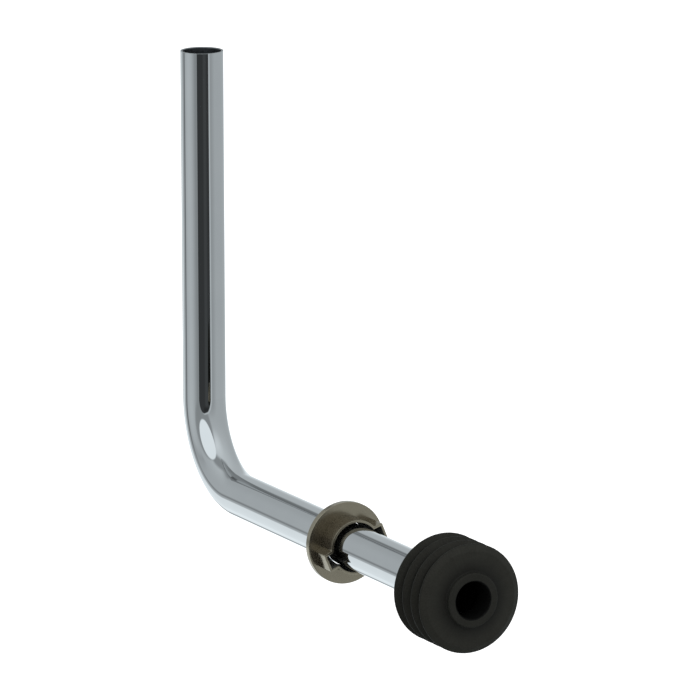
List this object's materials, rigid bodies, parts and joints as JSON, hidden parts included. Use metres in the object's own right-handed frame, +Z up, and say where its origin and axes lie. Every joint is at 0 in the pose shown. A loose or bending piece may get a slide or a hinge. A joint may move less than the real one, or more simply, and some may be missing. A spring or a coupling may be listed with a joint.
{
  "type": "flush pipe",
  "caption": "Bent chromed tube that leads flush water from a valve down into a bowl's inlet, with a slotted metal collar and a rubber lip connector on its outlet leg.",
  "frame": {"origin": "centre of the tube's open upper end, where it enters the flush valve", "axes": "+Z up, out of the open upper end; +X along the outlet leg, towards the rubber lips; +Y completes the right-handed frame"},
  "size_m": [0.2223, 0.0394, 0.1827],
  "materials": {
    "tube_chrome": "bright polished chrome plate",
    "collar_metal": "satin, warm grey",
    "connector_rubber": "matt black moulded rubber"
  },
  "bodies": {
    "root": {"flush_tube": "tube_chrome", "slotted_collar": "collar_metal", "lip_connector": "connector_rubber"}
  },
  "joints": []
}
